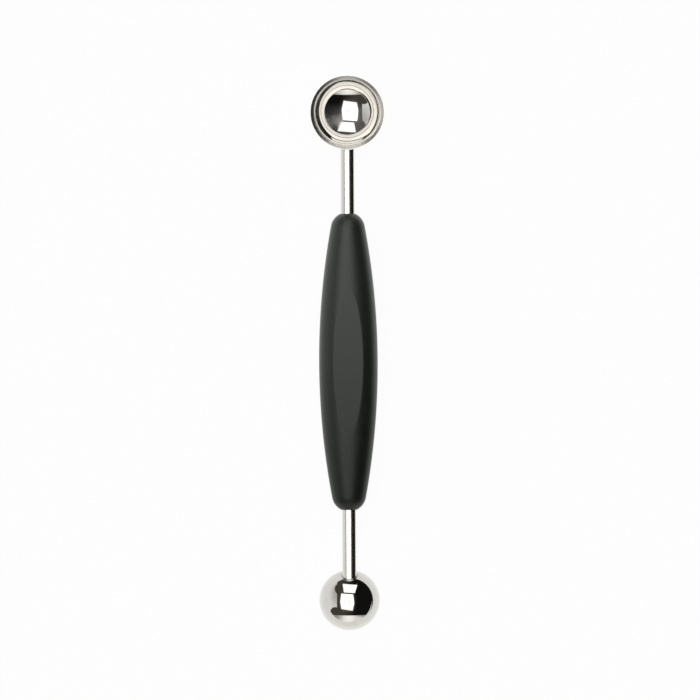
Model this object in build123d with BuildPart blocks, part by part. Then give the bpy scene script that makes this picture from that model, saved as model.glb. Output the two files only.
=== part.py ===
from build123d import *
import os
from math import acos, asin, atan2, copysign, cos, degrees, pi, radians, sin, sqrt, tan

# Double-ended melon baller, lying on the flat under its grip
# +Y runs along the tool to the large scoop, +X to the right, +Z up out of the thumb flat
# The origin is the middle of the lower flat, where the tool rests

os.makedirs("parts", exist_ok=True)

# Scoops: outside diameter over the ground edge, depth inside, and the pressed sheet
large_bowl_diameter = 30.0
large_bowl_depth = 9.5
small_bowl_diameter = 24.4
small_bowl_depth = 8.6
bowl_wall = 1.0
edge_slope = 30
edge_land = 0.2

# Shanks: bare rod between the grip and each rim
shank_diameter = 5.8
large_shank_reach = 25.0
small_shank_reach = 23.8
rim_clearance = 0.1
weld_leg = 0.8
weld_setback = 0.45

# Hidden tangs of the shanks
tang_depth = 40.0
tang_chamfer = 0.6
tang_groove_width = 1.2
tang_groove_depth = 0.4
tang_groove_count = 3
tang_groove_pitch = 2.6
wing_span = 8.0
wing_length = 9.0
wing_slope_length = 1.6
wing_thickness = 1.8
wing_setback = 18.0

# Grip: rubber moulded over a hard core
grip_length = 121.0
grip_width = 23.7
grip_thickness = 20.1
grip_end_radius = 6.95
flat_to_flat = 18.4
flat_edge_radius = 0.6
end_lip = 0.3
rubber_wall = 2.5
core_end_setback = 7.5

# Keying ribs round the core
rib_count = 11
rib_width = 3.2
rib_height = 1.0
core_end_chamfer = 0.8

# Cuts run past the body by this much
overrun = 1.0

# Places that follow from the sizes above
axis_height = flat_to_flat / 2
half_grip = grip_length / 2
shank_radius = shank_diameter / 2
large_bowl_place = half_grip + large_shank_reach + large_bowl_diameter / 2
small_bowl_place = half_grip + small_shank_reach + small_bowl_diameter / 2
mouth_offset = shank_radius + weld_setback + rim_clearance
tang_tip = half_grip - tang_depth
dome_centre = half_grip - grip_end_radius
core_half = half_grip - core_end_setback
rib_pitch = (2 * core_half - rib_width) / (rib_count - 1)

# Sections of the grip: an ellipse has an exponent of 2, and more is squarer
middle_exponent = 2.4
end_exponent = 2.0
section_points = 16
half_sections = 9


# Radius inside a spherical bowl from its width, depth and wall
def bowl_inner_radius(diameter, depth):
    outer_depth = depth + bowl_wall
    rim_radius = diameter / 2
    return (rim_radius**2 / outer_depth + outer_depth) / 2 - bowl_wall


# Middle of the bowl's sphere, above the mouth plane
def bowl_centre_height(diameter, depth):
    return bowl_inner_radius(diameter, depth) - depth


# Pressed spherical bowl with its edge ground to a narrow land from the inside
def make_bowl(mouth, diameter, depth):
    inner_radius = bowl_inner_radius(diameter, depth)
    outer_radius = inner_radius + bowl_wall
    centre_height = bowl_centre_height(diameter, depth)
    inner_angle = degrees(acos(centre_height / inner_radius))
    outer_angle = degrees(acos(centre_height / outer_radius))
    slope = tan(radians(edge_slope))
    ground_radius = diameter / 2 - edge_land
    section = Plane(origin=mouth.origin, x_dir=mouth.x_dir, z_dir=-mouth.y_dir)
    axis = Axis(mouth.origin, mouth.z_dir)
    with BuildPart() as bowl:
        with BuildSketch(section):
            with BuildLine():
                inside = CenterArc((0, centre_height), inner_radius, -90, inner_angle)
                outside = CenterArc((0, centre_height), outer_radius, -90, outer_angle)
                Line(inside @ 0, outside @ 0)
                Line(inside @ 1, outside @ 1)
            make_face()
        revolve(axis=axis)
        with BuildSketch(section):
            with BuildLine():
                Polyline((0, -ground_radius * slope), (ground_radius + overrun / slope, overrun),
                         (0, overrun), close=True)
            make_face()
        revolve(axis=axis, mode=Mode.SUBTRACT)
    return bowl.part


# Solid ball that fills a bowl to its outside, used to shape what seats on the bowl
def make_seat_ball(mouth, diameter, depth):
    ball_radius = bowl_inner_radius(diameter, depth) + bowl_wall
    centre = mouth.offset(bowl_centre_height(diameter, depth)).origin
    with BuildPart() as ball:
        with Locations(centre):
            Sphere(ball_radius)
    return ball.part


# Plane across the tool that looks outwards, at a distance from the middle of the grip
def cross_plane(side, distance):
    return Plane(origin=(0, side * distance, axis_height), x_dir=(1, 0, 0), z_dir=(0, side, 0))


# Bare rod whose tang has pinched wings and ring grooves, coped to the back of its bowl
def make_shank(side, bowl_place, seat_ball):
    wing_place = half_grip - wing_setback
    wing_level = Plane(origin=(0, side * wing_place, axis_height), x_dir=(0, 1, 0), z_dir=(0, 0, 1))
    with BuildPart() as shank:
        with BuildSketch(cross_plane(side, tang_tip)):
            Circle(shank_radius)
        extrude(amount=bowl_place - tang_tip)
        tip_edge = shank.edges().filter_by(GeomType.CIRCLE).sort_by(Axis.Y)[0 if side > 0 else -1]
        chamfer(tip_edge, length=tang_chamfer)
        for groove in range(tang_groove_count):
            groove_place = tang_tip + tang_groove_pitch * (groove + 1)
            with BuildSketch(cross_plane(side, groove_place)):
                Circle(shank_radius + overrun)
                Circle(shank_radius - tang_groove_depth, mode=Mode.SUBTRACT)
            extrude(amount=tang_groove_width, mode=Mode.SUBTRACT)
        with BuildSketch(wing_level):
            Trapezoid(wing_length, wing_span / 2, degrees(atan2(wing_span / 2, wing_slope_length)),
                      align=(Align.CENTER, Align.MIN))
            mirror(about=Plane.XZ)
        extrude(amount=wing_thickness / 2, both=True)
        add(seat_ball, mode=Mode.SUBTRACT)
    return shank.part


# Flat-faced weld bead that fills the corner between a rod and the back of its bowl
def make_weld(side, mouth, bowl_place, seat_ball, shank):
    with BuildPart() as weld:
        add(seat_ball)
        with BuildSketch(cross_plane(side, half_grip)):
            Circle(shank_radius)
        extrude(amount=bowl_place - half_grip)
        straight_edges = weld.edges().filter_by(GeomType.LINE)
        round_edges = weld.edges().filter_by(GeomType.CIRCLE)
        chamfer(weld.edges() - straight_edges - round_edges, length=weld_leg)
        add(seat_ball, mode=Mode.SUBTRACT)
        add(shank, mode=Mode.SUBTRACT)
        split(bisect_by=mouth.offset(-weld_setback), keep=Keep.BOTTOM)
    return weld.part


# Radius of the long arc that runs from end dome to end dome of the grip, tangent to both
def flank_radius(size):
    return (half_grip**2 + size**2 / 4 - grip_length * grip_end_radius) / (size - 2 * grip_end_radius)


# Half the width or thickness of the grip, a skin's depth inside it, at a distance from its middle
def half_size(size, skin, distance):
    radius = flank_radius(size)
    centre = radius - size / 2
    dome_start = (radius - skin) * sin(atan2(dome_centre, centre))
    if distance < dome_start:
        return sqrt((radius - skin) ** 2 - distance**2) - centre
    return sqrt((grip_end_radius - skin) ** 2 - (distance - dome_centre) ** 2)


# Distances of the sections from the middle, closer together round the domes
def section_distances(skin, end_distance):
    tip_distance = half_grip - skin
    end_angle = asin(end_distance / tip_distance)
    steps = range(-half_sections, half_sections + 1)
    return [tip_distance * sin(end_angle * step / half_sections) for step in steps]


# Squared oval that rounds off towards the ends, as one closed curve
def oval_points(skin, distance):
    squareness = 1 - (distance / half_grip) ** 2
    power = 2 / (end_exponent + (middle_exponent - end_exponent) * squareness)
    half_width = half_size(grip_width, skin, abs(distance))
    half_thickness = half_size(grip_thickness, skin, abs(distance))
    points = []
    for step in range(section_points):
        across = cos(2 * pi * step / section_points)
        up = sin(2 * pi * step / section_points)
        points.append((copysign(abs(across) ** power, across) * half_width,
                       copysign(abs(up) ** power, up) * half_thickness))
    return points


# Oval body a skin's depth inside the grip, with a flat above and below
def make_oval_body(skin, end_distance):
    with BuildPart() as body:
        for distance in section_distances(skin, end_distance):
            with BuildSketch(cross_plane(-1, -distance)):
                with BuildLine():
                    Spline(oval_points(skin, distance), periodic=True)
                make_face()
        loft()
        split(bisect_by=Plane.XY.offset(skin), keep=Keep.TOP)
        split(bisect_by=Plane.XY.offset(flat_to_flat - skin), keep=Keep.BOTTOM)
    return body.part


# Large scoop opens upwards, small scoop downwards
large_mouth = Plane(origin=(0, large_bowl_place, axis_height + mouth_offset))
small_mouth = Plane(origin=(0, -small_bowl_place, axis_height - mouth_offset),
                    x_dir=(1, 0, 0), z_dir=(0, 0, -1))
large_seat = make_seat_ball(large_mouth, large_bowl_diameter, large_bowl_depth)
small_seat = make_seat_ball(small_mouth, small_bowl_diameter, small_bowl_depth)

with BuildPart() as large_bowl:
    add(make_bowl(large_mouth, large_bowl_diameter, large_bowl_depth))

with BuildPart() as small_bowl:
    add(make_bowl(small_mouth, small_bowl_diameter, small_bowl_depth))

with BuildPart() as large_shank:
    add(make_shank(1, large_bowl_place, large_seat))

with BuildPart() as small_shank:
    add(make_shank(-1, small_bowl_place, small_seat))

with BuildPart() as large_weld:
    add(make_weld(1, large_mouth, large_bowl_place, large_seat, large_shank.part))

with BuildPart() as small_weld:
    add(make_weld(-1, small_mouth, small_bowl_place, small_seat, small_shank.part))

# Grooves between the ribs of the core, each round a straight oval with a flat above and below
groove_skin = rubber_wall + rib_height
with BuildPart() as rib_grooves:
    for groove in range(rib_count - 1):
        groove_start = rib_width - core_half + groove * rib_pitch
        groove_width = rib_pitch - rib_width
        with BuildSketch(cross_plane(1, groove_start), mode=Mode.PRIVATE) as groove_floor:
            with BuildLine():
                Spline(oval_points(groove_skin, groove_start + groove_width / 2), periodic=True)
            make_face()
            Rectangle(grip_width, flat_to_flat - 2 * groove_skin, mode=Mode.INTERSECT)
        with BuildSketch(cross_plane(1, groove_start)):
            Rectangle(grip_width, grip_width)
            add(groove_floor.sketch_local, mode=Mode.SUBTRACT)
        extrude(amount=groove_width)

with BuildPart() as handle_core:
    add(make_oval_body(rubber_wall, core_half))
    end_faces = handle_core.faces().filter_by(Axis.Y)
    chamfer(end_faces.edges(), length=core_end_chamfer)
    add(rib_grooves.part, mode=Mode.SUBTRACT)
    add(large_shank.part, mode=Mode.SUBTRACT)
    add(small_shank.part, mode=Mode.SUBTRACT)

with BuildPart() as soft_grip:
    add(make_oval_body(0, dome_centre + sqrt(grip_end_radius**2 - (shank_radius + end_lip) ** 2)))
    flats = soft_grip.faces().filter_by(Axis.Z)
    fillet(flats.edges(), radius=flat_edge_radius)
    add(handle_core.part, mode=Mode.SUBTRACT)
    add(large_shank.part, mode=Mode.SUBTRACT)
    add(small_shank.part, mode=Mode.SUBTRACT)

for name, piece in (("large_bowl", large_bowl), ("small_bowl", small_bowl),
                    ("large_shank", large_shank), ("small_shank", small_shank),
                    ("large_weld", large_weld), ("small_weld", small_weld),
                    ("handle_core", handle_core), ("soft_grip", soft_grip)):
    piece.part.label = name
    export_step(piece.part, "parts/" + name + ".step")
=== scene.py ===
import math

import bmesh
import bpy
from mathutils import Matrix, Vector


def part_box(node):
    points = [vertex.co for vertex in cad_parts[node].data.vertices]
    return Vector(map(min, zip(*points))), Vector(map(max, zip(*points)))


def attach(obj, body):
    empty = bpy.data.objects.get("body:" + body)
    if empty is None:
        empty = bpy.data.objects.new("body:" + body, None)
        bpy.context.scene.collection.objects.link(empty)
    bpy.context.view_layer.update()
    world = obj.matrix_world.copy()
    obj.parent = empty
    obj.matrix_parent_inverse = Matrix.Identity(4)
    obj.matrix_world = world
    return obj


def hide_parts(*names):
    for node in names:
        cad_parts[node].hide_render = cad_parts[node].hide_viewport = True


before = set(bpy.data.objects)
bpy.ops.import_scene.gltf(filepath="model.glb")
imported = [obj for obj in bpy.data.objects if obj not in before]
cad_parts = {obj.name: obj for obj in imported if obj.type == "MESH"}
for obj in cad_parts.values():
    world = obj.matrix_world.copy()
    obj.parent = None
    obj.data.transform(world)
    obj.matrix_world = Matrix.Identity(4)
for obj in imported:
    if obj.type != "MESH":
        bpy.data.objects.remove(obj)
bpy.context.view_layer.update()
mm = 0.001
print("frame loaded,", len(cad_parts), "nodes")


class Signal:  # wraps a shader socket, so that a sum written on it adds its Math nodes
    def __init__(self, shader, socket):
        self.shader = shader
        self.socket = socket

    def sum(self, operation, first, second):
        return self.shader.node("ShaderNodeMath", {"operation": operation}, {0: first, 1: second})

    def __add__(self, other):
        return self.sum("ADD", self, other)

    def __radd__(self, other):
        return self.sum("ADD", other, self)

    def __sub__(self, other):
        return self.sum("SUBTRACT", self, other)

    def __rsub__(self, other):
        return self.sum("SUBTRACT", other, self)

    def __mul__(self, other):
        return self.sum("MULTIPLY", self, other)

    def __rmul__(self, other):
        return self.sum("MULTIPLY", other, self)

    def __truediv__(self, other):
        return self.sum("DIVIDE", self, other)

    def __rtruediv__(self, other):
        return self.sum("DIVIDE", other, self)

    def __pow__(self, other):
        return self.sum("POWER", self, other)

    def __rpow__(self, other):
        return self.sum("POWER", other, self)

    def pick(self, name):  # another output of the same node
        return Signal(self.shader, self.socket.node.outputs[name])


class Shader:  # a node tree, and the one method that adds any node to it
    def __init__(self, tree):
        self.tree = tree
        tree.nodes.clear()

    def node(self, kind, settings=None, inputs=None):
        made = self.tree.nodes.new(kind)
        for name, value in (settings or {}).items():
            setattr(made, name, value)
        for name, value in (inputs or {}).items():
            if isinstance(value, Signal):
                self.tree.links.new(value.socket, made.inputs[name])
            else:
                made.inputs[name].default_value = value
        return Signal(self, made.outputs[0]) if made.outputs else None

    def soften(self, value, low, high):  # 0 at low, 1 at high, smooth between
        return self.node("ShaderNodeMapRange", {"interpolation_type": "SMOOTHSTEP"},
                         {"Value": value, "From Min": low, "From Max": high})

    def blend(self, share, first, second):  # mixes two colours
        mix = self.node("ShaderNodeMix", {"data_type": "RGBA"}, {"Factor": share, 6: first, 7: second})
        return mix.pick(2)


def newFinish(name):
    material = bpy.data.materials.new(name)
    material.use_nodes = True
    return material, Shader(material.node_tree)


# polished steel: a mirror with fine polishing lines and the odd smear
scoopLook = {
    "colour": (0.660, 0.641, 0.604, 1), "dullColour": (0.61, 0.59, 0.555, 1),
    "edgeColour": (0.80, 0.79, 0.765, 1), "edgeFrom": 0.3, "edgeTo": 0.9,
    "roughness": 0.025, "smearRoughness": 0.04, "lineRoughness": 0.02, "groundRoughness": 0.30,
    "smearSize": 6 * mm, "smearDetail": 3, "smearTwist": 0.6, "smearFrom": 0.45, "smearTo": 0.75,
    "lineSize": 0.09 * mm, "lineDepth": 0.0004 * mm, "groundFade": 0.05 * mm,
    "haze": 0.9, "hazeRoughness": 0.5, "hazeIndex": 1.9, "hazeRadius": 8.6 * mm, "hazeFade": 1.8 * mm,
    "hazeTop": 5.0 * mm, "hazeFoot": 0.5 * mm, "skinFade": 0.1 * mm,
    "rubX": -5.2 * mm, "rubY": -2.4 * mm, "rubRadius": 5.4 * mm, "rubRoughness": 0.34,
}


def edgeTint(shader, look, colour):  # steel looks paler where it is seen at a low angle
    facing = shader.node("ShaderNodeLayerWeight").pick("Facing")
    return shader.blend(shader.soften(facing, look["edgeFrom"], look["edgeTo"]), colour, look["edgeColour"])


def scoopFinish(name, centre, look, ground, middleRadius):
    # ground is the mouth height, its sign, the radius and the slope of the cone that grinds the edge
    material, shader = newFinish(name)
    place = shader.node("ShaderNodeTexCoord").pick("Object")
    local = shader.node("ShaderNodeVectorMath", {"operation": "SUBTRACT"}, {0: place, 1: centre})
    parts = shader.node("ShaderNodeSeparateXYZ", None, {0: local})
    x, y, z = parts.pick("X"), parts.pick("Y"), parts.pick("Z")
    radius = (x * x + y * y) ** 0.5
    lines = shader.node("ShaderNodeTexNoise", {"noise_dimensions": "2D"}, {
        "Vector": shader.node("ShaderNodeCombineXYZ", None, {0: radius, 1: z}),
        "Scale": 1 / look["lineSize"]})
    smear = shader.node("ShaderNodeTexNoise", None, {
        "Vector": local, "Scale": 1 / look["smearSize"], "Detail": look["smearDetail"],
        "Distortion": look["smearTwist"]})
    smearShare = shader.soften(smear, look["smearFrom"], look["smearTo"])
    mouth, up, groundRadius, slope = ground
    offCone = (z + (centre[2] - mouth)) * up + (groundRadius - radius) * math.tan(slope)
    groundShare = shader.soften((offCone * offCone) ** 0.5, look["groundFade"], look["groundFade"] / 2)
    # inside, the scoop is hazy round its bottom on the side of -Y, and rubbed dull in one place
    skin = look["skinFade"]
    inside = shader.soften((x * x + y * y + z * z) ** 0.5, middleRadius + skin, middleRadius - skin)
    patch = (shader.soften(radius, look["hazeRadius"] + look["hazeFade"], look["hazeRadius"])
             * shader.soften(y, look["hazeTop"], look["hazeFoot"]))
    rubX, rubY = x - look["rubX"], y - look["rubY"]
    rubbed = inside * shader.soften((rubX * rubX + rubY * rubY) ** 0.5, look["rubRadius"], 0)
    bump = shader.node("ShaderNodeBump", None, {"Distance": look["lineDepth"], "Height": lines})
    steel = shader.node("ShaderNodeBsdfPrincipled", None, {
        "Base Color": edgeTint(shader, look, shader.blend(smearShare, look["colour"], look["dullColour"])),
        "Metallic": 1.0,
        "Roughness": look["roughness"] + smearShare * look["smearRoughness"] + lines * look["lineRoughness"]
        + groundShare * look["groundRoughness"] + rubbed * look["rubRoughness"],
        "Coat Weight": inside * patch * look["haze"],
        "Coat Roughness": look["hazeRoughness"], "Coat IOR": look["hazeIndex"],
        "Normal": bump})
    shader.node("ShaderNodeOutputMaterial", None, {"Surface": steel})
    return material


# drawn rod: lines along it that spread its reflections, and a crown rubbed a little flat
rodLook = {
    "colour": (0.660, 0.641, 0.604, 1), "dullColour": (0.61, 0.59, 0.555, 1),
    "edgeColour": (0.97, 0.96, 0.935, 1), "edgeFrom": 0.3, "edgeTo": 0.9,
    "roughness": 0.16, "lineRoughness": 0.08, "lineSize": 0.12 * mm, "lineStretch": 0.01,
    "lineDepth": 0.001 * mm, "smearSize": 5 * mm, "smearDetail": 3, "smearFrom": 0.45, "smearTo": 0.75,
    "crown": 0.38, "crownAside": 0.21, "crownStart": 0.52, "crownEnd": 0.76,
}


def rodFinish(look, axisX, radius):
    material, shader = newFinish("rodSteel")
    place = shader.node("ShaderNodeTexCoord").pick("Object")
    stretched = shader.node("ShaderNodeVectorMath", {"operation": "MULTIPLY"}, {
        0: place, 1: (1, look["lineStretch"], 1)})
    lines = shader.node("ShaderNodeTexNoise", None, {"Vector": stretched, "Scale": 1 / look["lineSize"]})
    smear = shader.node("ShaderNodeTexNoise", None, {
        "Vector": place, "Scale": 1 / look["smearSize"], "Detail": look["smearDetail"]})
    smearShare = shader.soften(smear, look["smearFrom"], look["smearTo"])
    bump = shader.node("ShaderNodeBump", None, {"Distance": look["lineDepth"], "Height": lines})
    crownX = axisX + look["crownAside"] * radius
    across = shader.node("ShaderNodeSeparateXYZ", None, {0: place}).pick("X") - crownX
    off = (across * across) ** 0.5 / radius
    flatten = 1 - look["crown"] * shader.soften(off, look["crownEnd"], look["crownStart"])
    parts = shader.node("ShaderNodeSeparateXYZ", None, {0: bump})
    turned = shader.node("ShaderNodeCombineXYZ", None, {
        0: parts.pick("X") * flatten, 1: parts.pick("Y"), 2: parts.pick("Z")})
    normal = shader.node("ShaderNodeVectorMath", {"operation": "NORMALIZE"}, {0: turned})
    steel = shader.node("ShaderNodeBsdfPrincipled", None, {
        "Base Color": edgeTint(shader, look, shader.blend(smearShare, look["colour"], look["dullColour"])),
        "Metallic": 1.0,
        "Roughness": look["roughness"] + lines * look["lineRoughness"],
        "Normal": normal})
    shader.node("ShaderNodeOutputMaterial", None, {"Surface": steel})
    return material


# satin steel of the weld beads, a little straw-coloured from the heat
beadLook = {
    "colour": (0.50, 0.48, 0.45, 1), "heatColour": (0.40, 0.37, 0.32, 1),
    "roughness": 0.16, "roughnessSpread": 0.12, "grainSize": 0.35 * mm, "grainDepth": 0.006 * mm,
    "grainDetail": 4, "heatSize": 2.1 * mm, "heatFrom": 0.4, "heatTo": 0.7,
}


def weldFinish(look):
    material, shader = newFinish("weldSteel")
    place = shader.node("ShaderNodeTexCoord").pick("Object")
    heat = shader.node("ShaderNodeTexNoise", None, {"Vector": place, "Scale": 1 / look["heatSize"]})
    heatShare = shader.soften(heat, look["heatFrom"], look["heatTo"])
    grain = shader.node("ShaderNodeTexNoise", None, {
        "Vector": place, "Scale": 1 / look["grainSize"], "Detail": look["grainDetail"]})
    bump = shader.node("ShaderNodeBump", None, {"Distance": look["grainDepth"], "Height": grain})
    steel = shader.node("ShaderNodeBsdfPrincipled", None, {
        "Base Color": shader.blend(heatShare, look["colour"], look["heatColour"]),
        "Metallic": 1.0,
        "Roughness": look["roughness"] + grain * look["roughnessSpread"],
        "Normal": bump})
    shader.node("ShaderNodeOutputMaterial", None, {"Surface": steel})
    return material


# soft black rubber: matt, faintly green, with a fine moulded grain and pale dust specks,
# and painted light: a little greyer and shinier towards the large scoop, a painted highlight where the light
# falls brighter
rubberLook = {
    "colour": (0.0048, 0.0058, 0.0048, 1), "paleColour": (0.0082, 0.0098, 0.0082, 1),
    # painted highlight: a greyer colour and a coat sheen that rise towards the large scoop's end
    "wearAndPaintedLightColour": (0.0130, 0.0156, 0.0133, 1), "paintedLightReach": 62 * mm, "paintedSheen": 0.52,
    "paintedSheenRoughness": 0.45,
    "speckColour": (0.08, 0.084, 0.08, 1), "sheenColour": (0.92, 1.0, 0.92, 1), "sheen": 0.335,
    "roughness": 0.36, "roughnessSpread": 0.12,
    "cloudSize": 5 * mm, "cloudDetail": 4, "cloudRoughness": 0.6, "cloudShare": 0.6,
    "grainSize": 0.28 * mm, "grainDetail": 3, "grainRoughness": 0.65, "grainDepth": 0.012 * mm,
    "grainStrength": 0.7, "mottleFrom": 0.35, "mottleTo": 0.65,
    "speckSize": 0.55 * mm, "speckDetail": 1, "speckFrom": 0.70, "speckTo": 0.80, "speckShare": 0.5,
}


def rubberFinish(look):
    material, shader = newFinish("softRubber")
    place = shader.node("ShaderNodeTexCoord").pick("Object")
    cloud = shader.node("ShaderNodeTexNoise", None, {
        "Vector": place, "Scale": 1 / look["cloudSize"], "Detail": look["cloudDetail"],
        "Roughness": look["cloudRoughness"]})
    grain = shader.node("ShaderNodeTexNoise", None, {
        "Vector": place, "Scale": 1 / look["grainSize"], "Detail": look["grainDetail"],
        "Roughness": look["grainRoughness"]})
    speck = shader.node("ShaderNodeTexNoise", None, {
        "Vector": place, "Scale": 1 / look["speckSize"], "Detail": look["speckDetail"]})
    specks = shader.soften(speck, look["speckFrom"], look["speckTo"]) * look["speckShare"]
    mottle = cloud * look["cloudShare"] + grain * (1 - look["cloudShare"])
    mottled = shader.blend(shader.soften(mottle, look["mottleFrom"], look["mottleTo"]),
                           look["colour"], look["paleColour"])
    along = shader.node("ShaderNodeSeparateXYZ", None, {0: place}).pick("Y")
    # painted highlight: the colour turns greyer and the coat sheen grows towards +Y, the large scoop's end
    paintedLight = shader.soften(along, -look["paintedLightReach"], look["paintedLightReach"])
    mottled = shader.blend(paintedLight, mottled, look["wearAndPaintedLightColour"])
    bump = shader.node("ShaderNodeBump", None, {
        "Strength": look["grainStrength"], "Distance": look["grainDepth"], "Height": grain})
    rubber = shader.node("ShaderNodeBsdfPrincipled", None, {
        "Base Color": shader.blend(specks, mottled, look["speckColour"]),
        "Roughness": look["roughness"] + grain * look["roughnessSpread"],
        "Specular IOR Level": look["sheen"], "Specular Tint": look["sheenColour"],
        "Coat Weight": paintedLight * look["paintedSheen"], "Coat Roughness": look["paintedSheenRoughness"],
        "Normal": bump})
    shader.node("ShaderNodeOutputMaterial", None, {"Surface": rubber})
    return material


# hard black plastic of the core
plasticLook = {
    "colour": (0.016, 0.016, 0.017, 1), "wearAndPaintedLightColour": (0.030, 0.030, 0.031, 1),
    "roughness": 0.34, "roughnessSpread": 0.14,
    "grainSize": 0.5 * mm, "grainDetail": 4, "grainDepth": 0.01 * mm, "grainStrength": 0.6,
}


def plasticFinish(look):
    material, shader = newFinish("corePlastic")
    place = shader.node("ShaderNodeTexCoord").pick("Object")
    grain = shader.node("ShaderNodeTexNoise", None, {
        "Vector": place, "Scale": 1 / look["grainSize"], "Detail": look["grainDetail"]})
    bump = shader.node("ShaderNodeBump", None, {
        "Strength": look["grainStrength"], "Distance": look["grainDepth"], "Height": grain})
    plastic = shader.node("ShaderNodeBsdfPrincipled", None, {
        "Base Color": shader.blend(grain, look["colour"], look["wearAndPaintedLightColour"]),
        "Roughness": look["roughness"] + grain * look["roughnessSpread"],
        "Normal": bump})
    shader.node("ShaderNodeOutputMaterial", None, {"Surface": plastic})
    return material


def ringMesh(name, rings, material, closed=False, startTip=None, endTip=None):
    # skins rings of equally many points; closed joins the last ring to the first, a tip closes an end
    build = bmesh.new()
    rows = [[build.verts.new(point) for point in ring] for ring in rings]
    count = len(rings[0])
    pairs = list(zip(rows, rows[1:]))
    if closed:
        pairs.append((rows[-1], rows[0]))
    for here, there in pairs:
        for place in range(count):
            after = (place + 1) % count
            build.faces.new((here[place], here[after], there[after], there[place]))
    for tip, row in ((startTip, rows[0]), (endTip, rows[-1])):
        if tip is not None:
            point = build.verts.new(tip)
            for place in range(count):
                build.faces.new((point, row[place], row[(place + 1) % count]))
    for face in build.faces:
        face.smooth = True
    bmesh.ops.recalc_face_normals(build, faces=build.faces[:])
    mesh = bpy.data.meshes.new(name)
    build.to_mesh(mesh)
    build.free()
    mesh.materials.append(material)
    piece = bpy.data.objects.new(name, mesh)
    bpy.context.scene.collection.objects.link(piece)
    print(name, "made,", len(mesh.polygons), "faces")
    return piece


def dress(piece, node):  # the piece stands for a CAD node
    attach(piece, "root")
    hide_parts(node)


def coat(node, material):  # a CAD node keeps its shape and takes a finish
    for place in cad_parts[node].material_slots:
        place.material = material


def softCorner(before, corner, after, size, steps=4, hold=1.8):
    # a short curve in place of a corner, with a point held on each side of it, hold sizes away
    corner, towards = Vector(corner), (Vector(before) - Vector(corner)).normalized()
    away = (Vector(after) - corner).normalized()
    start, end = corner + towards * size, corner + away * size
    points = [corner + towards * size * hold]
    for step in range(steps + 1):
        share = step / steps
        points.append(start.lerp(corner, share).lerp(corner.lerp(end, share), share))
    return points + [corner + away * size * hold]


# scoops, pressed from sheet, with an edge ground from inside
bowlShape = {
    "wall": 1.0 * mm, "edgeSlope": math.radians(30), "edgeLand": 0.2 * mm, "edgeRound": 0.05 * mm,
    "holdBack": 0.2 * mm, "turnSteps": 288, "arcSteps": 64,
}


def bowlSizes(node, mouthUp):
    # centre, mouth height, radii and sphere centre of a scoop, read from its CAD box
    low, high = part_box(node)
    shape = bowlShape
    radius, height = (high.x - low.x) / 2, high.z - low.z
    outer = (radius ** 2 / height + height) / 2
    up = 1 if mouthUp else -1
    mouth = high.z if mouthUp else low.z
    rise = outer - height
    return {"x": (low.x + high.x) / 2, "y": (low.y + high.y) / 2, "mouth": mouth, "up": up, "radius": radius,
            "outer": outer, "inner": outer - shape["wall"], "rise": rise, "centre": mouth + up * rise}


def makeBowl(name, node, mouthUp):
    shape = bowlShape
    bowl = bowlSizes(node, mouthUp)
    inner, outer, rise = bowl["inner"], bowl["outer"], bowl["rise"]
    slope = shape["edgeSlope"]
    rim = (bowl["radius"], 0)
    land = (bowl["radius"] - shape["edgeLand"], 0)
    # the ground cone runs down from the land, and meets the inside after cut
    halfChord = land[0] * math.cos(slope) - rise * math.sin(slope)
    cut = halfChord - math.sqrt(halfChord ** 2 - land[0] ** 2 - rise ** 2 + inner ** 2)
    crease = (land[0] - cut * math.cos(slope), -cut * math.sin(slope))
    innerAngle = math.asin(crease[0] / inner)
    outerAngle = math.acos(rise / outer)
    steps = shape["arcSteps"]
    holdAngle = shape["holdBack"] / inner  # the arcs stop short of the rounded corners
    inside = [innerAngle - holdAngle if step == steps else innerAngle * step / (steps + 1)
              for step in range(1, steps + 1)]
    outside = [outerAngle - holdAngle if step == steps else outerAngle * step / (steps + 1)
               for step in range(steps, 0, -1)]
    profile = [(inner * math.sin(angle), rise - inner * math.cos(angle)) for angle in inside]
    innerEnd = profile[-1]
    outerStart = (outer * math.sin(outside[0]), rise - outer * math.cos(outside[0]))
    profile += softCorner(innerEnd, crease, land, shape["edgeRound"])
    profile += softCorner(crease, land, rim, shape["edgeRound"])
    profile += softCorner(land, rim, outerStart, shape["edgeRound"])
    profile += [(outer * math.sin(angle), rise - outer * math.cos(angle)) for angle in outside]
    turns = [2 * math.pi * step / shape["turnSteps"] for step in range(shape["turnSteps"])]
    rings = [[(bowl["x"] + out * math.cos(turn), bowl["y"] + out * math.sin(turn),
               bowl["mouth"] + bowl["up"] * height) for turn in turns] for out, height in profile]
    innerPole = (bowl["x"], bowl["y"], bowl["mouth"] + bowl["up"] * (rise - inner))
    outerPole = (bowl["x"], bowl["y"], bowl["mouth"] + bowl["up"] * (rise - outer))
    finish = scoopFinish(name + "Steel", (bowl["x"], bowl["y"], bowl["centre"]), scoopLook,
                         (bowl["mouth"], bowl["up"], land[0], slope), (inner + outer) / 2)
    piece = ringMesh(name, rings, finish, startTip=innerPole, endTip=outerPole)
    dress(piece, node)
    return bowl


largeBowl = makeBowl("largeBowl", "large_bowl", True)
smallBowl = makeBowl("smallBowl", "small_bowl", False)

# rods: the CAD nodes keep their shape and take a drawn, polished finish
rodLow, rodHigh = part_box("large_shank")
rodRadius = (rodHigh.z - rodLow.z) / 2
rodHeight = (rodHigh.z + rodLow.z) / 2
rodSteel = rodFinish(rodLook, (rodLow.x + rodHigh.x) / 2, rodRadius)
coat("large_shank", rodSteel)
coat("small_shank", rodSteel)
print("rods finished")

# the core inside the grip stays as the CAD has it
coat("handle_core", plasticFinish(plasticLook))
print("core finished")

# weld beads between the rods and the backs of the scoops
beadShape = {
    "leg": 0.5 * mm, "setback": 0.45 * mm, "hollow": 0.08, "rippleCount": 34, "rippleDepth": 0.018 * mm,
    "turnSteps": 272, "faceSteps": 10, "tuck": 0.06 * mm,
}


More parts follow.
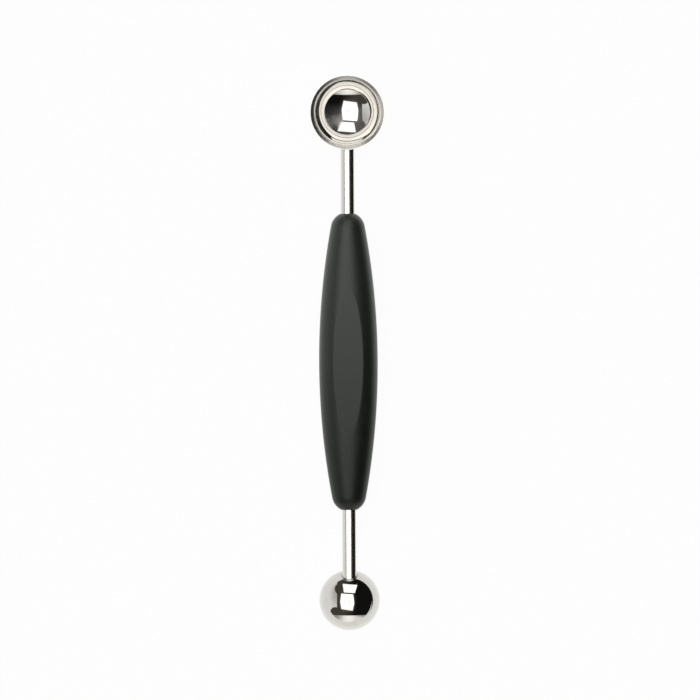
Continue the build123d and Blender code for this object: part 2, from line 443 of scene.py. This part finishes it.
def makeBead(name, node, bowl, side):
    # side is +1 towards +Y; the bead fills the corner where the rod meets the ball
    shape = beadShape
    centre = Vector((bowl["x"], bowl["y"], bowl["centre"]))
    ball = bowl["outer"]
    limit = bowl["mouth"] - bowl["up"] * shape["setback"]

    def onBall(x, z):  # the ball's skin on the side of the grip
        z = min(z, limit) if bowl["up"] > 0 else max(z, limit)
        depth = math.sqrt(ball ** 2 - (x - centre.x) ** 2 - (z - centre.z) ** 2)
        return Vector((x, centre.y - side * depth, z))

    rings = []
    for turnStep in range(shape["turnSteps"]):
        turn = 2 * math.pi * turnStep / shape["turnSteps"]
        out = Vector((math.sin(turn), 0, math.cos(turn)))
        axisPoint = Vector((0, 0, rodHeight))
        foot = axisPoint + out * rodRadius
        root = onBall(foot.x, foot.z)
        skin = (root - centre).normalized()
        along = (out - skin * out.dot(skin)).normalized()
        rodToe = root - Vector((0, side * shape["leg"], 0))
        reach = centre + (root + along * shape["leg"] - centre).normalized() * ball
        ballToe = onBall(reach.x, reach.z)
        middle = rodToe.lerp(ballToe, 0.5)
        bend = middle.lerp(root, shape["hollow"] * 2)
        face = (middle - root).normalized()
        ripple = math.cos(shape["rippleCount"] * turn) * shape["rippleDepth"]
        ring = []
        for step in range(shape["faceSteps"] + 1):
            share = step / shape["faceSteps"]
            point = rodToe.lerp(bend, share).lerp(bend.lerp(ballToe, share), share)
            ring.append(point + face * ripple * math.sin(math.pi * share))
        ring.append(root - out * shape["tuck"] + Vector((0, side * shape["tuck"], 0)))
        rings.append(ring)
    piece = ringMesh(name, rings, weldSteel, closed=True)
    dress(piece, node)


weldSteel = weldFinish(beadLook)
makeBead("largeWeld", "large_weld", largeBowl, 1)
makeBead("smallWeld", "small_weld", smallBowl, -1)

# soft grip: long arcs between two end domes, squared oval sections and a lens-shaped flat on both faces
gripShape = {
    "length": 121 * mm, "width": 23.7 * mm, "thickness": 20.1 * mm, "endRadius": 6.95 * mm,
    "flatToFlat": 18.4 * mm, "creaseRound": 0.09 * mm, "middleExponent": 2.4, "endExponent": 2.0,
    "endLip": 0.3 * mm, "lipDropShare": 0.8, "lipHoldShare": 1.5, "lipSteps": 6,
    "boreGap": 0.02 * mm, "boreDepth": 7.2 * mm, "boreHold": 0.3 * mm, "wall": 2.4 * mm,
    "lengthSteps": 330, "turnSteps": 252, "crowding": 0.42, "cavitySteps": 40,
}


def flankRadius(size):
    half, end = gripShape["length"] / 2, gripShape["endRadius"]
    return (half ** 2 + size ** 2 / 4 - 2 * half * end) / (size - 2 * end)


def halfSize(size, skin, distance):
    half, end = gripShape["length"] / 2, gripShape["endRadius"]
    radius, domeCentre = flankRadius(size), half - end
    centre = radius - size / 2
    if distance < (radius - skin) * math.sin(math.atan2(domeCentre, centre)):
        return math.sqrt((radius - skin) ** 2 - distance ** 2) - centre
    return math.sqrt(max((end - skin) ** 2 - (distance - domeCentre) ** 2, 0))


def signedPower(value, power):
    return math.copysign(abs(value) ** power, value)


def softLimit(value, limit, blend):  # the smaller of two lengths, rounded where they meet
    near = max(blend - abs(value - limit), 0) / blend
    return min(value, limit) - near * near * blend / 4


def gripTurns(count):
    # angles round a section, closer together over the flats and their creases
    even = [2 * math.pi * (step + 0.5) / count for step in range(count)]
    return [turn + gripShape["crowding"] * math.sin(2 * turn) / 2 for turn in even]


def gripRing(distance, skin, turns):
    shape = gripShape
    squareness = 1 - (distance / (shape["length"] / 2)) ** 2
    power = 2 / (shape["endExponent"] + (shape["middleExponent"] - shape["endExponent"]) * squareness)
    halfWidth = halfSize(shape["width"], skin, abs(distance))
    halfThickness = halfSize(shape["thickness"], skin, abs(distance))
    flat = shape["flatToFlat"] / 2 - skin
    ring = []
    for turn in turns:
        x = signedPower(math.cos(turn), power) * halfWidth
        z = signedPower(math.sin(turn), power) * halfThickness
        z = math.copysign(softLimit(abs(z), flat, shape["creaseRound"]), z)
        ring.append((x, distance, rodHeight + z))
    return ring


def makeGrip():
    shape = gripShape
    turns = gripTurns(shape["turnSteps"])
    half = shape["length"] / 2
    domeCentre = half - shape["endRadius"]
    lipRadius = rodRadius + shape["endLip"]
    endDistance = domeCentre + math.sqrt(shape["endRadius"] ** 2 - lipRadius ** 2)
    endAngle = math.asin(endDistance / half)
    outside = []
    for step in range(shape["lengthSteps"] + 1):
        share = 2 * step / shape["lengthSteps"] - 1
        outside.append(gripRing(half * math.sin(endAngle * share), 0, turns))

    def hole(side):  # rolls over the lip, then down the bore beside the rod
        bore = rodRadius + shape["boreGap"]
        roll = lipRadius - bore
        rings = []
        for step in range(1, shape["lipSteps"] + 1):
            angle = math.pi / 2 * step / shape["lipSteps"]
            rings.append((bore + roll * (1 - math.sin(angle)),
                          endDistance - roll * shape["lipDropShare"] * (1 - math.cos(angle))))
        rings.append((bore, endDistance - roll * shape["lipHoldShare"]))
        rings.append((bore, endDistance - shape["boreDepth"] + shape["boreHold"]))
        rings.append((bore, endDistance - shape["boreDepth"]))
        return [[(out * math.cos(turn), side * along, rodHeight + out * math.sin(turn)) for turn in turns]
                for out, along in rings]

    cavityEnd = endDistance - shape["boreDepth"]
    cavity = []
    for step in range(shape["cavitySteps"] + 1):
        distance = cavityEnd * math.sin(math.pi / 2 * (1 - 2 * step / shape["cavitySteps"]))
        cavity.append(gripRing(distance, shape["wall"], turns))
    rings = outside + hole(1) + cavity + hole(-1)[::-1]
    piece = ringMesh("softGrip", rings, rubberFinish(rubberLook), closed=True)
    dress(piece, "soft_grip")


makeGrip()

# floor: a wide pale disc just under the tool
floorLook = {
    "radius": 1.2, "gap": 0.03 * mm, "colour": (0.86, 0.86, 0.855, 1), "cameraShare": 0.955,
    "mirrorPale": (0.98, 0.98, 0.975, 1), "mirrorDark": (0.015, 0.015, 0.015, 1),
    "darkFrom": 0.07, "darkTo": 0.10, "darkLow": -0.19, "darkHigh": -0.13, "steps": 96,
}


def makeFloor():
    look = floorLook
    material, shader = newFinish("paleFloor")
    ray = shader.node("ShaderNodeLightPath")
    cloth = shader.node("ShaderNodeBsdfDiffuse", None, {"Color": look["colour"]})
    white = shader.node("ShaderNodeEmission", None, {"Color": (1, 1, 1, 1), "Strength": 1.0})
    place = shader.node("ShaderNodeTexCoord").pick("Object")
    parts = shader.node("ShaderNodeSeparateXYZ", None, {0: place})
    right = (shader.soften(parts.pick("X"), look["darkFrom"], look["darkTo"])
             * shader.soften(parts.pick("Y"), look["darkLow"], look["darkHigh"]))
    mirrored = shader.node("ShaderNodeEmission", None, {
        "Color": shader.blend(right, look["mirrorPale"], look["mirrorDark"]), "Strength": 1.0})
    mixed = shader.node("ShaderNodeMixShader", None, {
        0: ray.pick("Is Camera Ray") * look["cameraShare"], 1: cloth, 2: white})
    mixed = shader.node("ShaderNodeMixShader", None, {0: ray.pick("Is Glossy Ray"), 1: mixed, 2: mirrored})
    shader.node("ShaderNodeOutputMaterial", None, {"Surface": mixed})
    build = bmesh.new()
    rim = [build.verts.new((look["radius"] * math.cos(2 * math.pi * step / look["steps"]),
                            look["radius"] * math.sin(2 * math.pi * step / look["steps"]), -look["gap"]))
           for step in range(look["steps"])]
    build.faces.new(rim)
    mesh = bpy.data.meshes.new("floor")
    build.to_mesh(mesh)
    build.free()
    mesh.materials.append(material)
    floor = bpy.data.objects.new("floor", mesh)
    bpy.context.scene.collection.objects.link(floor)


makeFloor()
print("floor laid")

# studio: two windows in a dark ceiling, pale walls to the left and in front.
# Places are where a small mirror ball under the camera would show them, from -1 to 1 across it.
# Lobe, foot and eye are discs: x, y, radius. Shades and shine are ovals: x, y, half sizes, depth.
studio = {
    "wall": 1.0, "darkLeft": 0.07, "darkRight": 0.008, "darkTint": (1.0, 0.9, 0.78, 1),
    "lowHead": 2.4, "lowFoot": 1.6, "high": 1.7, "glow": 0.09, "glowEdge": 0.26,
    "edge": 0.012, "guard": 0.001,
    "lowWindow": ((-0.265, 0.224), (-0.299, -0.05), (-0.262, -0.271), (0.097, -0.324), (0.150, -0.090),
                  (0.115, 0.196)),
    "highWindow": ((-0.225, 0.535), (-0.182, 0.268), (0.172, 0.242), (0.258, 0.500)),
    "darkLowX": -0.405, "darkLowY": -0.480, "beyond": 2, "darkTurn": (-0.25, 0.2),
    "lobe": (-0.30, 0.37, 0.185), "lobeEdge": 0.036, "foot": (-0.46, -0.36, 0.145), "footEdge": 0.024,
    "shades": ((-0.44, 0.20, 0.26, 0.60, 0.45), (-0.43, -0.52, 0.28, 0.27, 0.66),
               (0.45, -0.45, 0.40, 0.17, 0.80)),
    "shine": (-0.03, -0.58, 0.28, 0.22, 1.0), "shineLevel": 1.4,
    "eye": (0.0, -0.032, 0.017), "eyeLevel": 0.3,
}


def lightStudio():
    look = studio
    world = bpy.data.worlds.new("studio")
    bpy.context.scene.world = world
    world.use_nodes = True
    shader = Shader(world.node_tree)
    ray = shader.node("ShaderNodeLightPath")
    direction = shader.node("ShaderNodeTexCoord").pick("Generated")  # guard keeps the root below off zero
    towards = shader.node("ShaderNodeSeparateXYZ", None, {0: direction})
    stretch = (2 + look["guard"] + towards.pick("Z") * 2) ** -0.5
    across, up = towards.pick("X") * stretch, towards.pick("Y") * stretch

    def inside(corners, edge):  # corners go round against the clock
        share = 1
        for (x1, y1), (x2, y2) in zip(corners, corners[1:] + corners[:1]):
            length = math.hypot(x2 - x1, y2 - y1)
            turnX, turnY = (x2 - x1) / length, (y2 - y1) / length
            distance = up * turnX - across * turnY + (x1 * turnY - y1 * turnX)
            share = shader.soften(distance, -edge / 2, edge / 2) * share
        return share

    def light(strength, colour=(1, 1, 1, 1)):
        return shader.node("ShaderNodeBackground", None, {"Color": colour, "Strength": strength})

    def mixed(share, first, second):
        return shader.node("ShaderNodeMixShader", None, {0: share, 1: first, 2: second})

    def disc(x, y, radius, edge):
        offX, offY = across - x, up - y
        return shader.soften((offX * offX + offY * offY) ** 0.5, radius + edge / 2, radius - edge / 2)

    def blot(x, y, width, height, depth):  # an oval that fades from its middle out
        offX, offY = (across - x) / width, (up - y) / height
        return shader.soften((offX * offX + offY * offY) ** 0.5, 1, 0) * depth

    edge, beyond = look["edge"], look["beyond"]
    lowX, lowY = look["darkLowX"], look["darkLowY"]
    room = mixed(blot(*look["shine"]), light(look["wall"]), light(look["shineLevel"]))
    for shade in look["shades"]:
        room = mixed(blot(*shade), room, light(look["darkLeft"], look["darkTint"]))
    ceiling = inside(((lowX, lowY), (beyond, lowY), (beyond, beyond), (lowX, beyond)), edge)
    foot = disc(*look["foot"], look["footEdge"]) * shader.soften(up, lowY - edge / 2, lowY + edge / 2)
    lobe = disc(*look["lobe"], look["lobeEdge"])
    dark = mixed(shader.soften(across, *look["darkTurn"]), light(look["darkLeft"], look["darkTint"]),
                 light(look["darkRight"]))
    low = mixed(shader.soften(up, look["lowWindow"][3][1], look["lowWindow"][0][1]),
                light(look["lowFoot"]), light(look["lowHead"]))
    high = light(look["high"])
    dark = mixed(inside(look["lowWindow"], look["glowEdge"]) * look["glow"], dark, low)
    room = mixed(1 - (1 - ceiling) * (1 - foot) * (1 - lobe), room, dark)
    room = mixed(inside(look["lowWindow"], edge), room, low)
    room = mixed(inside(look["highWindow"], edge), room, high)
    room = mixed(disc(*look["eye"], edge / 2), room, light(look["eyeLevel"]))  # the camera itself
    shader.node("ShaderNodeOutputWorld", None, {
        "Surface": mixed(ray.pick("Is Camera Ray"), room, light(1.0))})


lightStudio()
print("studio lit")

# camera straight above, turned a little, as the photograph is
lens = {
    "height": 1.5, "viewHeight": 282.7 * mm, "focus": 9.2 * mm, "x": 0.66 * mm, "y": 4.76 * mm,
    "tilt": math.radians(0.27), "sensor": 36, "near": 0.01, "far": 20,
}


def placeCamera():
    data = bpy.data.cameras.new("camera")
    camera = bpy.data.objects.new("camera", data)
    bpy.context.scene.collection.objects.link(camera)
    camera.location = (lens["x"], lens["y"], lens["focus"] + lens["height"])
    camera.rotation_euler = (0, 0, -lens["tilt"])
    data.sensor_width = lens["sensor"]
    data.lens = data.sensor_width * lens["height"] / lens["viewHeight"]
    data.clip_start, data.clip_end = lens["near"], lens["far"]
    bpy.context.scene.camera = camera


placeCamera()
bpy.context.scene.view_settings.view_transform = "Standard"

print("scene ready")
